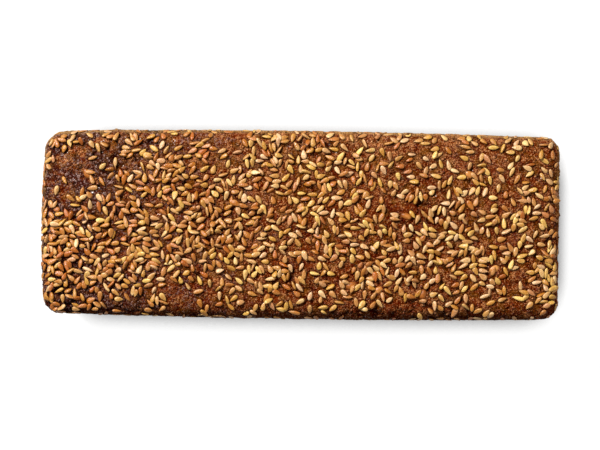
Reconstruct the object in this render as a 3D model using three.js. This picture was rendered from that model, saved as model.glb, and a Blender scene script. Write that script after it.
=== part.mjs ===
// A long rectangular loaf of dark seeded bread, as it comes out of its tin.
// Millimetres, +Z up. The loaf's length runs along X and its width along Y, and the origin is
// the middle of the flat base that it rests on.
import * as THREE from "three";
import { mergeVertices } from "three/addons/utils/BufferGeometryUtils.js";

// Overall size of the loaf.
const LENGTH = 261;
const WIDTH = 95;
const HEIGHT = 66;

// The tin's shape, which the sides keep.
const CORNER_RADIUS = 8.6; // upright corners, seen from above
const FOOT_RADIUS = 4.5; // bottom edge all round
const DRAFT = 2.6; // how far each side comes in between the shoulder and the base
const SIDE_BULGE = 1.6; // how far the long sides swell outwards at mid length

// What the dough did above the tin's walls.
const SHOULDER_RADIUS = 8; // top edge all round
const CROWN = 2.4; // rise of the top's middle above its edges

// Mesh steps along each edge: some round each corner's arc, the rest along the straight.
const LENGTH_STEPS = 30;
const WIDTH_STEPS = 16;
const HEIGHT_STEPS = 13;
const ARC_STEPS = 3;

const CRUST_COLOUR = 0x653515;
const CRUST_ROUGHNESS = 0.6;

const QUARTER_TURN = Math.PI / 2;
const EIGHTH_TURN = Math.PI / 4;

// Place of a mesh line along one edge of the box: `step` counts from one end, the first and
// last ARC_STEPS fill an arc's reach at each end, and the rest share out the straight.
function edgePlace(step, steps, length, lowArc, highArc) {
  if (step <= ARC_STEPS) {
    return (lowArc * step) / ARC_STEPS;
  }
  if (step >= steps - ARC_STEPS) {
    return length - (highArc * (steps - step)) / ARC_STEPS;
  }
  const share = (step - ARC_STEPS) / (steps - 2 * ARC_STEPS);
  return lowArc + share * (length - lowArc - highArc);
}

// Turns how far a point lies outside the straight part of the box, along (x, y), into how far
// it lies round the upright corner: the same reach, at an angle shared out evenly.
function cornerDirection(outX, outY) {
  const reachX = Math.abs(outX);
  const reachY = Math.abs(outY);
  const ratio = Math.min(reachX, reachY) / Math.max(reachX, reachY);
  const angle = reachX >= reachY ? EIGHTH_TURN * ratio : QUARTER_TURN - EIGHTH_TURN * ratio;
  return [Math.sign(outX) * Math.cos(angle), Math.sign(outY) * Math.sin(angle)];
}

// The loaf's edge in section: given a point's reach outwards and its height, gives both
// again with the shoulder and the foot rounded, each by a quarter circle of its own radius.
function roundEdge(reach, height) {
  const upper = height > HEIGHT / 2;
  const radius = upper ? SHOULDER_RADIUS : FOOT_RADIUS;
  const fromFace = upper ? HEIGHT - height : height;
  const fromSide = CORNER_RADIUS - reach;
  if (fromFace >= radius || fromSide >= radius) {
    return [reach, height];
  }
  const onFace = fromFace < fromSide;
  const along = onFace ? fromSide / radius : fromFace / radius;
  const angle = onFace ? QUARTER_TURN - EIGHTH_TURN * (1 - along) : EIGHTH_TURN * (1 - along);
  const roundedReach = CORNER_RADIUS - radius + radius * Math.cos(angle);
  const roundedDepth = radius - radius * Math.sin(angle);
  return [roundedReach, upper ? HEIGHT - roundedDepth : roundedDepth];
}

// Moves a point of the plain box, measured from the base's middle, onto the rounded block.
function roundBlock(point) {
  const coreX = LENGTH / 2 - CORNER_RADIUS;
  const coreY = WIDTH / 2 - SIDE_BULGE - CORNER_RADIUS;
  const insideX = THREE.MathUtils.clamp(point.x, -coreX, coreX);
  const insideY = THREE.MathUtils.clamp(point.y, -coreY, coreY);
  const outX = point.x - insideX;
  const outY = point.y - insideY;
  const reach = Math.max(Math.abs(outX), Math.abs(outY));
  if (reach === 0) {
    return;
  }
  const [directionX, directionY] = cornerDirection(outX, outY);
  const [roundedReach, roundedHeight] = roundEdge(reach, point.z);
  point.set(
    insideX + directionX * roundedReach,
    insideY + directionY * roundedReach,
    roundedHeight,
  );
}

// Gives the rounded block what the tin and the oven did: sides that lean in towards the base,
// long sides that swell at mid length, and a top that is highest in its middle.
function bakeShape(point) {
  const alongX = point.x / (LENGTH / 2);
  const alongY = point.y / (WIDTH / 2 - SIDE_BULGE);
  const depth = Math.max(0, 1 - point.z / (HEIGHT - SHOULDER_RADIUS));
  const crownShare = (1 - alongX ** 4) * (1 - alongY ** 2);
  point.x -= alongX * DRAFT * depth;
  point.y -= alongY * DRAFT * depth;
  point.y += alongY * SIDE_BULGE * (1 - alongX ** 2);
  point.z -= (point.z / HEIGHT) * CROWN * (1 - crownShare);
}

// The whole loaf: a box with its mesh lines gathered at its edges, then rounded and baked.
function loafGeometry() {
  const box = new THREE.BoxGeometry(1, 1, 1, LENGTH_STEPS, WIDTH_STEPS, HEIGHT_STEPS);
  box.deleteAttribute("normal");
  box.deleteAttribute("uv");
  const geometry = mergeVertices(box);
  const positions = geometry.getAttribute("position");
  const plainWidth = WIDTH - 2 * SIDE_BULGE;
  const point = new THREE.Vector3();
  for (let i = 0; i < positions.count; i += 1) {
    point.fromBufferAttribute(positions, i);
    const stepX = Math.round((point.x + 0.5) * LENGTH_STEPS);
    const stepY = Math.round((point.y + 0.5) * WIDTH_STEPS);
    const stepZ = Math.round((point.z + 0.5) * HEIGHT_STEPS);
    point.x = edgePlace(stepX, LENGTH_STEPS, LENGTH, CORNER_RADIUS, CORNER_RADIUS) - LENGTH / 2;
    point.y = edgePlace(stepY, WIDTH_STEPS, plainWidth, CORNER_RADIUS, CORNER_RADIUS) - plainWidth / 2;
    point.z = edgePlace(stepZ, HEIGHT_STEPS, HEIGHT, FOOT_RADIUS, SHOULDER_RADIUS);
    roundBlock(point);
    bakeShape(point);
    positions.setXYZ(i, point.x, point.y, point.z);
  }
  geometry.computeVertexNormals();
  return geometry;
}

const crust = new THREE.MeshStandardMaterial({
  color: CRUST_COLOUR,
  roughness: CRUST_ROUGHNESS,
  metalness: 0,
});

const seededLoaf = new THREE.Mesh(loafGeometry(), crust);
seededLoaf.name = "seeded_loaf";

const loaf = new THREE.Group();
loaf.add(seededLoaf);

export default loaf;
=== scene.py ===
"""A long rectangular tin loaf of dark bread, crusted all over with golden flax seeds.

Everything is in metres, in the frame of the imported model: the loaf's length runs along X, its
width along Y, and its base lies on the plane z = 0.
"""

import logging
import math
from dataclasses import dataclass, field, fields
from enum import Enum

import bpy
import numpy as np
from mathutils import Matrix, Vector


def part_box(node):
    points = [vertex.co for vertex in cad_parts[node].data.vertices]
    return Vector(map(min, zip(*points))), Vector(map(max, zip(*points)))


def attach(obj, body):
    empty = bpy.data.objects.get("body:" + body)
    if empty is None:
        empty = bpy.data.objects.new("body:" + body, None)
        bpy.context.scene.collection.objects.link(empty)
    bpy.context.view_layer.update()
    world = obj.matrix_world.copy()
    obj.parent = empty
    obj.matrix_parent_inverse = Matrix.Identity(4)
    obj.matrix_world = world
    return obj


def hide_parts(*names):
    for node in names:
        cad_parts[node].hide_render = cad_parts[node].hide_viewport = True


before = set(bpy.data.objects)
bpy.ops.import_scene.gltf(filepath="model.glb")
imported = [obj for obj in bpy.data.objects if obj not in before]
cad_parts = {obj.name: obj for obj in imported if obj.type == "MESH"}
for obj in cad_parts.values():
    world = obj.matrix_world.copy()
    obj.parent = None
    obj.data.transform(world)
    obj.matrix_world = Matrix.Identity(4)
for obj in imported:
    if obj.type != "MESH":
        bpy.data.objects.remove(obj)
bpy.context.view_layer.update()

MM = 0.001
TINY = 1e-12
SEED_SHADE = (0.9 * MM, 2.3 * MM)
PRESSED_BACK = 0.9
LOAF_NODE = "seeded_loaf"
BODY = "root"
BAKE_MAP = "OFBake"
LOG = logging.getLogger("loaf")

Array = np.ndarray
Colour = tuple[float, float, float]
Socket = bpy.types.NodeSocket


def linear(red: int, green: int, blue: int) -> Colour:
    """Turns an 8-bit screen colour into the linear one that a shader takes.

    Args:
        red: The red channel, from 0 to 255.
        green: The green channel, from 0 to 255.
        blue: The blue channel, from 0 to 255.

    Returns:
        The three channels, from 0 to 1, with the screen's curve taken out.
    """
    shares = (red / 255, green / 255, blue / 255)
    return tuple(c / 12.92 if c <= 0.04045 else ((c + 0.055) / 1.055) ** 2.4 for c in shares)


def smoothstep(low: float, high: float, value: Array) -> Array:
    """Rises from 0 at low to 1 at high along 3t² - 2t³, level at both ends.

    Args:
        low: The value where the rise starts.
        high: The value where it ends.
        value: The values to turn into shares.

    Returns:
        A share from 0 to 1 for each value.
    """
    share = np.clip((value - low) / (high - low), 0.0, 1.0)
    return share * share * (3.0 - 2.0 * share)


def unit(vectors: Array) -> Array:
    """Scales each row to length 1."""
    return vectors / np.maximum(np.linalg.norm(vectors, axis=-1, keepdims=True), TINY)


def along_skin(weights: Array, tangents: Array) -> Array:
    """Sums each point's two tangents, each times its own weight."""
    return np.einsum("nk,nkc->nc", weights, tangents)


def axes_of(turn: Array, out: Array, tangents: Array) -> Array:
    """Gives each small form its three axes. The first is its heading in the crust's plane, with
    what lies along the outward axis taken out, and the second is square to both.

    Args:
        turn: Each form's angle in the plane of the two tangents.
        out: Its outward axis.
        tangents: The crust's two tangents under it.

    Returns:
        One matrix a form, whose rows are the axes along, across and outwards.
    """
    heading = along_skin(np.column_stack([np.cos(turn), np.sin(turn)]), tangents)
    along = unit(heading - (heading * out).sum(axis=1)[:, None] * out)
    return np.stack([along, np.cross(out, along), out], axis=1)


def set_down(local: Array, axes: Array, middle: Array) -> Array:
    """Turns each form's own points by its axes and moves them to its middle."""
    return middle[:, None] + np.einsum("nvk,nkc->nvc", local, axes)


def pressed_in(world: Array, skin: Array, normals: Array, limit: float, share: Array) -> Array:
    """Presses small forms into the crust, and keeps them above the table. Where a point stands
    out past the limit, most of what is over it is taken back, times the share.

    Args:
        world: The forms' points, as forms, points, coordinates.
        skin: The smooth loaf's point under each form.
        normals: Its outward normal there.
        limit: How far a form may stand out.
        share: How hard each form is pressed, a number or one row a form.

    Returns:
        The pressed points.
    """
    proud = ((world - skin[:, None]) * normals[:, None]).sum(axis=2)
    over = np.maximum(0.0, proud - limit) * share
    world = world - (over * PRESSED_BACK)[..., None] * normals[:, None]
    world[..., 2] = np.maximum(world[..., 2], 0.0)
    return world


def own_places(draws: np.random.Generator, local: Array) -> Array:
    """Shifts each form's own coordinates by a random amount, so that no two grains match."""
    return local + draws.uniform(-0.5, 0.5, size=(len(local), 1, 3))


class Noise:
    """Seeded noise in space, worked out for whole arrays of points at once."""

    TABLE = 256
    GAIN = 1.6
    OCTAVE_SHIFT = 17.3

    def __init__(self, seed: int) -> None:
        """Draws the random slopes and the order in which the lattice uses them.

        Args:
            seed: The number that fixes every draw.
        """
        draws = np.random.default_rng(seed)
        self.slopes = unit(draws.normal(size=(self.TABLE, 3)))
        self.spots = draws.uniform(size=(self.TABLE, 3))
        self.luck = draws.uniform(size=self.TABLE)
        self.order = np.tile(draws.permutation(self.TABLE), 2)

    def _pick(self, cell: Array) -> Array:
        """Gives each lattice cell its place in the tables, by hashing its three numbers.

        Args:
            cell: Three whole numbers a row.

        Returns:
            One index a row.
        """
        wrapped = cell % self.TABLE
        first = self.order[wrapped[:, 0]]
        second = self.order[(first + wrapped[:, 1]) % self.TABLE]
        return self.order[(second + wrapped[:, 2]) % self.TABLE]

    def smooth(self, points: Array, size: float) -> Array:
        """Gradient noise: each lattice corner has a random slope, and a point blends the eight
        ramps round it by weights that rise along 6t⁵ - 15t⁴ + 10t³.

        Args:
            points: The places, one row each.
            size: The width of one wave.

        Returns:
            Values of about -1 to 1.
        """
        scaled = points / size
        cell = np.floor(scaled).astype(np.int64)
        inside = scaled - cell
        fade = inside**3 * (inside * (inside * 6.0 - 15.0) + 10.0)
        total = np.zeros(len(points))
        for corner in np.ndindex(2, 2, 2):
            step = np.array(corner)
            slope = self.slopes[self._pick(cell + step)]
            weight = np.where(step, fade, 1.0 - fade).prod(axis=1)
            total += weight * (slope * (inside - step)).sum(axis=1)
        return self.GAIN * total

    def layered(self, points: Array, size: float, octaves: int) -> Array:
        """Sums octaves of smooth noise, each half as wide and half as strong as the last.

        Args:
            points: The places, one row each.
            size: The width of the widest wave.
            octaves: How many layers to add.

        Returns:
            Values of about -1 to 1.
        """
        total = np.zeros(len(points))
        for octave in range(octaves):
            shift = self.OCTAVE_SHIFT * size * octave
            total += self.smooth(points + shift, size / 2**octave) / 2**octave
        return total / (2.0 - 2.0 ** (1 - octaves))

    def cells(self, points: Array, size: float) -> tuple[Array, Array]:
        """Cellular noise: every lattice cell holds one random spot, and a point finds the
        nearest spot among the 27 cells round it.

        Args:
            points: The places, one row each.
            size: The width of a cell.

        Returns:
            The distance to the nearest spot, in cells, and that spot's random share of 0 to 1.
        """
        scaled = points / size
        cell = np.floor(scaled).astype(np.int64)
        nearest = np.full(len(points), np.inf)
        luck = np.zeros(len(points))
        for offset in np.ndindex(3, 3, 3):
            step = np.array(offset) - 1
            pick = self._pick(cell + step)
            distance = np.linalg.norm(cell + step + self.spots[pick] - scaled, axis=1)
            closer = distance < nearest
            nearest = np.where(closer, distance, nearest)
            luck = np.where(closer, self.luck[pick], luck)
        return nearest, luck


@dataclass
class Surface:
    """A mesh as plain arrays, before it becomes an object."""

    points: Array
    faces: list[Array]
    maps: list[Array]
    values: dict[str, Array] = field(default_factory=dict)
    vectors: dict[str, Array] = field(default_factory=dict)

    def to_object(self, name: str) -> bpy.types.Object:
        """Puts the arrays into a new mesh object at the origin.

        Args:
            name: The object's name.

        Returns:
            The object, shaded smooth, with its map and its attributes.
        """
        mesh = bpy.data.meshes.new(name)
        corners = np.concatenate([block.ravel() for block in self.faces])
        sizes = np.concatenate([np.full(len(block), block.shape[1]) for block in self.faces])
        starts = np.concatenate([[0], np.cumsum(sizes)[:-1]])
        mesh.vertices.add(len(self.points))
        mesh.vertices.foreach_set("co", self.points.ravel())
        mesh.loops.add(len(corners))
        mesh.loops.foreach_set("vertex_index", corners)
        mesh.polygons.add(len(sizes))
        mesh.polygons.foreach_set("loop_start", starts)
        mesh.polygons.foreach_set("use_smooth", np.ones(len(sizes), dtype=bool))
        mesh.update(calc_edges=True)
        bake_map = mesh.uv_layers.new(name=BAKE_MAP)
        bake_map.data.foreach_set("uv", np.concatenate([block.ravel() for block in self.maps]))
        for key, numbers in self.values.items():
            mesh.attributes.new(key, "FLOAT", "POINT").data.foreach_set("value", numbers)
        for key, rows in self.vectors.items():
            attribute = mesh.attributes.new(key, "FLOAT_VECTOR", "POINT")
            attribute.data.foreach_set("vector", rows.ravel())
        mesh.validate()
        piece = bpy.data.objects.new(name, mesh)
        bpy.context.scene.collection.objects.link(piece)
        return piece


class Face(Enum):
    """A side of the block that the loaf is moulded from: its axis and its end along it."""

    TOP = (2, 1)
    BASE = (2, -1)
    FRONT = (1, -1)
    BACK = (1, 1)
    LEFT = (0, -1)
    RIGHT = (0, 1)

    @property
    def axis(self) -> int:
        """The axis that the face looks along."""
        return self.value[0]

    @property
    def end(self) -> int:
        """1 at the axis's high end and -1 at its low end."""
        return self.value[1]

    @property
    def plane_axes(self) -> tuple[int, int]:
        """The two axes that the face spans, in order."""
        return tuple(axis for axis in range(3) if axis != self.axis)


@dataclass(frozen=True)
class LoafShape:
    """The loaf's smooth outside: a block with rounded edges, as its tin and the oven left it."""

    length: float
    width: float
    height: float
    corner_radius: float = 8.6 * MM
    foot_radius: float = 4.5 * MM
    shoulder_radius: float = 8.0 * MM
    draft: float = 2.6 * MM
    side_bulge: float = 1.6 * MM
    crown: float = 2.4 * MM
    end_bulge: float = 2.0 * MM
    end_starts: float = -0.75
    corner_pull: float = 0.7 * MM
    corner_starts: tuple[float, float] = (-0.86, 0.55)
    corner_way: tuple[float, float] = (0.6, -1.0)
    probe: float = 0.2 * MM

    @classmethod
    def from_node(cls, node: str) -> "LoafShape":
        """Takes the loaf's three sizes from the box of its CAD node."""
        low, high = (Vector(corner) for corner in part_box(node))
        return cls(*(high - low))

    @property
    def half(self) -> Array:
        """Half the plain block's length and width, before the long sides swell."""
        return np.array([self.length / 2, self.width / 2 - self.side_bulge])

    def span(self, face: Face) -> tuple[Array, Array]:
        """The lowest and highest in-plane coordinates of a face of the block.

        Args:
            face: The face.

        Returns:
            Two pairs of coordinates along the face's plane axes.
        """
        low = np.array([-self.half[0], -self.half[1], 0.0])
        high = np.array([self.half[0], self.half[1], self.height])
        axes = list(face.plane_axes)
        return low[axes], high[axes]

    def on_block(self, face: Face, place: Array) -> Array:
        """Puts in-plane coordinates onto a face of the block.

        Args:
            face: The face.
            place: Pairs of coordinates along the face's plane axes.

        Returns:
            Points of the block, one row each.
        """
        ends = {Face.TOP: self.height, Face.BASE: 0.0}
        block = np.empty((len(place), 3))
        block[:, list(face.plane_axes)] = place
        block[:, face.axis] = ends.get(face, face.end * self.half[min(face.axis, 1)])
        return block

    def _round_edges(self, reach: Array, height: Array) -> tuple[Array, Array]:
        """Rounds the edge in section. A point within one radius of the edge, on either face,
        moves onto a quarter circle: its distance from the edge, as a share of the radius,
        becomes its angle from the circle's middle.

        Args:
            reach: How far each point lies outside the core, at most the corner radius.
            height: Each point's height.

        Returns:
            The rounded reach and the rounded height.
        """
        upper = height > self.height / 2
        radius = np.where(upper, self.shoulder_radius, self.foot_radius)
        from_face = np.where(upper, self.height - height, height)
        from_side = self.corner_radius - reach
        rounded = (from_face < radius) & (from_side < radius)
        on_face = from_face < from_side
        turn = math.pi / 4 * (1.0 - np.where(on_face, from_side, from_face) / radius)
        angle = np.where(on_face, math.pi / 2 - turn, turn)
        new_reach = self.corner_radius - radius + radius * np.cos(angle)
        depth = radius - radius * np.sin(angle)
        new_height = np.where(upper, self.height - depth, depth)
        return np.where(rounded, new_reach, reach), np.where(rounded, new_height, height)

    def mould(self, block: Array) -> Array:
        """Moves points of the plain block onto the loaf.

        The upright corners become quarter circles about the core's corners, with the larger
        of the two outward distances as the reach and their ratio shared out as the angle.
        The shoulder and foot are rounded in section. Then the sides lean in towards the base
        by the draft, the long sides swell by 1 - x², the left end draws back by y² towards
        its corners, the back corner there is pulled in both ways, and the top falls away
        from its middle by the crown times 1 - (1 - x⁴)(1 - y²).

        Args:
            block: Points of the block's surface, one row each.

        Returns:
            The moulded points.
        """
        core = self.half - self.corner_radius
        inside = np.clip(block[:, :2], -core, core)
        out = block[:, :2] - inside
        far = np.abs(out)
        ratio = far.min(axis=1) / np.maximum(far.max(axis=1), TINY)
        turn = math.pi / 4 * ratio
        angle = np.where(far[:, 0] >= far[:, 1], turn, math.pi / 2 - turn)
        reach, height = self._round_edges(far.max(axis=1), block[:, 2])
        heading = np.sign(out) * np.stack([np.cos(angle), np.sin(angle)], axis=1)
        plan = inside + heading * reach[:, None]
        along = plan / self.half
        depth = np.maximum(0.0, 1.0 - height / (self.height - self.shoulder_radius))
        crown_share = (1.0 - along[:, 0] ** 4) * (1.0 - along[:, 1] ** 2)
        plan = plan - along * self.draft * depth[:, None]
        plan[:, 1] += along[:, 1] * self.side_bulge * (1.0 - along[:, 0] ** 2)
        plan[:, 0] += self.end_bulge * along[:, 1] ** 2 * smoothstep(self.end_starts, -1.0, along[:, 0])
        left, back = self.corner_starts
        back_corner = smoothstep(left, -1.0, along[:, 0]) * smoothstep(back, 1.0, along[:, 1])
        plan += self.corner_pull * back_corner[:, None] * np.array(self.corner_way)
        height = height - height / self.height * self.crown * (1.0 - crown_share)
        return np.column_stack([plan, height])

    def skin(self, face: Face, place: Array) -> tuple[Array, Array, Array]:
        """Finds points of the loaf, from in-plane coordinates, and the axes of its skin there.

        The normal is the cross product of the two tangents, each the difference between the
        moulded points a small step to either side.

        Args:
            face: The face of the block that the coordinates lie on.
            place: Pairs of coordinates along the face's plane axes.

        Returns:
            The points, their outward unit normals, and two unit tangents for each, one along
            each of the face's plane axes, as points, tangents, coordinates.
        """
        low, high = self.span(face)
        tangents = []
        for shift in np.eye(2) * self.probe:
            ahead = self.on_block(face, np.clip(place + shift, low, high))
            behind = self.on_block(face, np.clip(place - shift, low, high))
            tangents.append(self.mould(ahead) - self.mould(behind))
        points = self.mould(self.on_block(face, place))
        normals = unit(np.cross(*tangents))
        outwards = points - np.array([0.0, 0.0, self.height / 2])
        facing = np.sign((normals * outwards).sum(axis=1))
        return points, normals * facing[:, None], unit(np.stack(tangents, axis=1))


@dataclass(frozen=True)
class CrustRelief:
    """How far the baked crust stands off the smooth loaf: swells, lumps, grains, pits, cracks."""

    swell: float = 0.5 * MM
    swell_size: float = 34 * MM
    lump: float = 0.75 * MM
    lump_size: float = 6.5 * MM
    lump_level: float = 0.3
    lump_reach: float = 0.75
    grain: float = 0.34 * MM
    grain_size: float = 2.2 * MM
    pit_depth: float = 1.4 * MM
    pit_cell: float = 5.2 * MM
    pit_kinds: tuple[tuple[float, float], ...] = ((1.0, 0.3), (0.45, 0.22))
    pit_radius: tuple[float, float] = (0.18, 0.3)
    pit_bend: float = 0.9 * MM
    pit_bend_size: float = 3 * MM
    crack_depth: float = 0.7 * MM
    crack_size: float = 8.0 * MM
    crack_bend: float = 1.6 * MM
    crack_bend_size: float = 5 * MM
    crack_bend_shift: float = 31 * MM
    crack_ridge: tuple[float, float] = (0.86, 0.98)
    crack_patch: tuple[float, float] = (-0.05, 0.35)
    crack_patch_size: float = 26 * MM
    wall_starts: float = 3 * MM
    wall_full: float = 5 * MM
    wall_share: float = 0.22
    wall_calm: float = 0.6
    left_starts: float = -30 * MM
    left_full: float = -110 * MM
    left_roughness: float = 0.65
    base_recess: float = 0.12 * MM
    seed: int = 20

    def wall(self, points: Array, shape: LoafShape) -> Array:
        """Gives 0 on the free top and 1 where the tin pressed the crust smooth."""
        edge = shape.height - shape.shoulder_radius
        return 1.0 - smoothstep(edge - self.wall_full, edge + self.wall_starts, points[:, 2])

    def leftness(self, points: Array) -> Array:
        """Rises from 0 left of the loaf's middle to 1 near its left end."""
        return smoothstep(self.left_starts, self.left_full, points[:, 0])

    def swells(self, points: Array, wall: Array) -> Array:
        """The broad waves alone, which seeds follow: smooth noise times its height, calmer on
        the walls."""
        waves = self.swell * Noise(self.seed).layered(points, self.swell_size, 2)
        return waves * (1.0 - self.wall_calm * wall)

    def pits(self, points: Array) -> Array:
        """Scattered hollows, wide and small, more of them towards the left end. A cell's spot
        becomes a pit where its luck is low, as deep in share as 1 less its distance over its
        own radius.

        Args:
            points: Points of the smooth loaf.

        Returns:
            The share of the full depth, 0 away from any pit.
        """
        noise = Noise(self.seed + 1)
        warp = noise.smooth(points, self.pit_bend_size)[:, None] * self.pit_bend
        total = np.zeros(len(points))
        least, more = self.pit_radius
        for size, even_chance in self.pit_kinds:
            distance, luck = noise.cells(points + warp, self.pit_cell * size)
            chance = even_chance * (1.0 + self.leftness(points))
            radius = least + more * luck / chance
            hollow = smoothstep(0.0, 1.0, 1.0 - distance / radius)
            total = np.maximum(total, np.where(luck < chance, hollow * size, 0.0))
        return total

    def cracks(self, points: Array) -> Array:
        """Wrinkles and cracks: the narrow bands where warped smooth noise crosses zero,
        kept only in patches.

        Args:
            points: Points of the smooth loaf.

        Returns:
            The share of the full depth, 0 away from any crack.
        """
        noise = Noise(self.seed + 2)
        shifts = [self.crack_bend_shift * k for k in range(3)]
        bend = np.column_stack([noise.smooth(points + one, self.crack_bend_size) for one in shifts])
        ridge = 1.0 - np.abs(noise.smooth(points + self.crack_bend * bend, self.crack_size))
        patch = smoothstep(*self.crack_patch, noise.smooth(points, self.crack_patch_size))
        return smoothstep(*self.crack_ridge, ridge) * patch

    def shape_masks(self, points: Array) -> dict[str, Array]:
        """Works out where the crust is hollow and where it is lumpy.

        Args:
            points: Points of the smooth loaf.

        Returns:
            Shares named "pit", "crack" and "lump", one number a point.
        """
        noise = Noise(self.seed + 3)
        distance, luck = noise.cells(points, self.lump_size)
        domes = smoothstep(self.lump_reach, 0.0, distance)
        lumps = domes * (self.lump_level + (1.0 - self.lump_level) * luck)
        return {"pit": self.pits(points), "crack": self.cracks(points), "lump": lumps}

    def heights(self, points: Array, masks: dict[str, Array], shape: LoafShape) -> Array:
        """Adds up the relief: swells, lumps and grains outwards, pits and cracks inwards.

        Args:
            points: Points of the smooth loaf.
            masks: What shape_masks gave for them.
            shape: The loaf, for its walls and base.

        Returns:
            How far each point moves along its normal.
        """
        noise = Noise(self.seed + 4)
        wall = self.wall(points, shape)
        rougher = 1.0 + self.left_roughness * self.leftness(points)
        ease = (1.0 - (1.0 - self.wall_share) * wall) * rougher
        grains = self.grain * noise.layered(points, self.grain_size, 2)
        lumps = self.lump * (masks["lump"] - self.lump_level)
        hollows = self.pit_depth * masks["pit"] + self.crack_depth * masks["crack"]
        height = self.swells(points, wall) + ease * (grains + lumps - hollows)
        foot = 1.0 - smoothstep(0.0, shape.foot_radius, points[:, 2])
        inwards = np.minimum(height, 0.0) - self.base_recess
        return height + foot * (inwards - height)


def nearness(points: Array, seed_points: Array, rows: int = 2048) -> Array:
    """How near each point is to a seed: 1 near its middle, fading to 0 about a seed's width
    away.

    Args:
        points: Points of the crust.
        seed_points: Points along the seeds' middles.
        rows: How many points are compared with all the seeds at once.

    Returns:
        A share for each point.
    """
    seeds = seed_points.astype(np.float32)
    near = np.empty(len(points))
    for start in range(0, len(points), rows):
        some = points[start : start + rows].astype(np.float32)
        square = (some**2).sum(1)[:, None] + (seeds**2).sum(1)[None] - 2 * some @ seeds.T
        near[start : start + rows] = np.sqrt(np.maximum(square.min(axis=1), 0.0))
    return 1.0 - smoothstep(*SEED_SHADE, near)


@dataclass(frozen=True)
class RingedForm:
    """How a small closed form is knit: rings along its axis, and a fan at each end."""

    stations: int
    sides: int
    margin: float = 0.04

    @property
    def turn(self) -> Array:
        """The angle of each point round a ring."""
        return np.arange(self.sides) * 2 * math.pi / self.sides

    def faces(self) -> list[Array]:
        """Knits the rings' points, numbered ring by ring, and then the first and last tips.

        Returns:
            The quads between rings, and the fans' triangles.
        """
        ring = np.arange(self.sides)
        after = (ring + 1) % self.sides
        starts = np.arange(self.stations - 1)[:, None] * self.sides
        quads = np.stack(
            [starts + ring, starts + self.sides + ring, starts + self.sides + after, starts + after],
            axis=-1,
        ).reshape(-1, 4)
        last = (self.stations - 1) * self.sides
        first_tip = np.full(self.sides, self.stations * self.sides)
        fans = np.vstack([
            np.column_stack([first_tip, ring, after]),
            np.column_stack([first_tip + 1, last + after, last + ring]),
        ])
        return [quads, fans]

    def maps(self) -> list[Array]:
        """Unrolls the form: u runs round it and v along it, within the unit square and clear
        of its edges by the margin.

        Returns:
            The map corners of the quads, and of the fans.
        """
        u = np.linspace(self.margin, 1.0 - self.margin, self.sides + 1)
        v = np.linspace(self.margin, 1.0 - self.margin, self.stations + 2)
        left, right = u[:-1], u[1:]
        low = np.repeat(v[1:-2], self.sides)
        high = np.repeat(v[2:-1], self.sides)
        lefts = np.tile(left, self.stations - 1)
        rights = np.tile(right, self.stations - 1)
        quads = np.stack([
            np.column_stack([lefts, low]), np.column_stack([lefts, high]),
            np.column_stack([rights, high]), np.column_stack([rights, low]),
        ], axis=1)
        middle = (left + right) / 2
        near = np.full(self.sides, v[1])
        far = np.full(self.sides, v[-2])
        first = np.stack([
            np.column_stack([middle, np.full(self.sides, v[0])]),
            np.column_stack([left, near]), np.column_stack([right, near]),
        ], axis=1)
        last = np.stack([
            np.column_stack([middle, np.full(self.sides, v[-1])]),
            np.column_stack([right, far]), np.column_stack([left, far]),
        ], axis=1)
        return [quads, np.vstack([first, last])]


def stamp(template: Surface, world: Array, values: dict[str, Array], own_place: Array) -> Surface:
    """Joins many copies of a small form into one surface, each with its square of the map.

    Args:
        template: One copy.
        world: Each copy's points in place, as copies, points, coordinates.
        values: Numbers by name, one for each copy or one for each of its points.
        own_place: Each copy's points in its own axes.

    Returns:
        The joined surface.
    """
    count, verts = world.shape[:2]
    shifts = (np.arange(count) * verts)[:, None, None]
    faces = [(block[None] + shifts).reshape(-1, block.shape[1]) for block in template.faces]
    side = math.ceil(math.sqrt(count))
    cells = np.column_stack(divmod(np.arange(count), side))[:, None, None, :]
    maps = [((block[None] + cells) / side).reshape(-1, *block.shape[1:]) for block in template.maps]
    spread = {key: np.broadcast_to(rows.reshape(count, -1), (count, verts)) for key, rows in values.items()}
    return Surface(
        world.reshape(-1, 3),
        faces,
        maps,
        {key: rows.ravel() for key, rows in spread.items()},
        {"own_place": own_place.reshape(-1, 3)},
    )


@dataclass(frozen=True)
class SeedForm:
    """The outline and section of one seed, as a surface of two parameters."""

    length: float
    width: float
    thickness: float
    stations: int = 6
    sides: int = 10
    taper: float = 0.75
    flatness: float = 0.62
    thinning: float = 0.7

    def surface(self) -> Surface:
        """Builds one seed along +X, lying flat, closed by a fan at each end.

        At an angle t along the seed, x is -cos t times half the length. Half the width there
        is sin t times cos(t / 2) to the power of the taper, which draws the far end out to a
        point. The section is an ellipse drawn flatter by the flatness, a power of the sine,
        and its height follows the width to the power of the thinning.

        Returns:
            The seed, with its unwrapped map, and how near each point is to its rim.
        """
        knit = RingedForm(self.stations, self.sides)
        t = np.linspace(0.0, math.pi, self.stations + 2)[1:-1]
        drop = np.sin(t) * np.cos(t / 2) ** self.taper
        drop = drop / drop.max()
        x = np.repeat(-np.cos(t) * self.length / 2, self.sides)
        y = np.outer(drop, np.cos(knit.turn)).ravel() * self.width / 2
        rise = np.sign(np.sin(knit.turn)) * np.abs(np.sin(knit.turn)) ** self.flatness
        z = np.outer(drop**self.thinning, rise).ravel() * self.thickness / 2
        tips = np.array([[-self.length / 2, 0, 0], [self.length / 2, 0, 0]])
        points = np.vstack([np.column_stack([x, y, z]), tips])
        rim = np.append(np.tile(np.abs(np.cos(knit.turn)), self.stations), [1.0, 1.0])
        return Surface(points, knit.faces(), knit.maps(), {"rim": rim})


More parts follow.
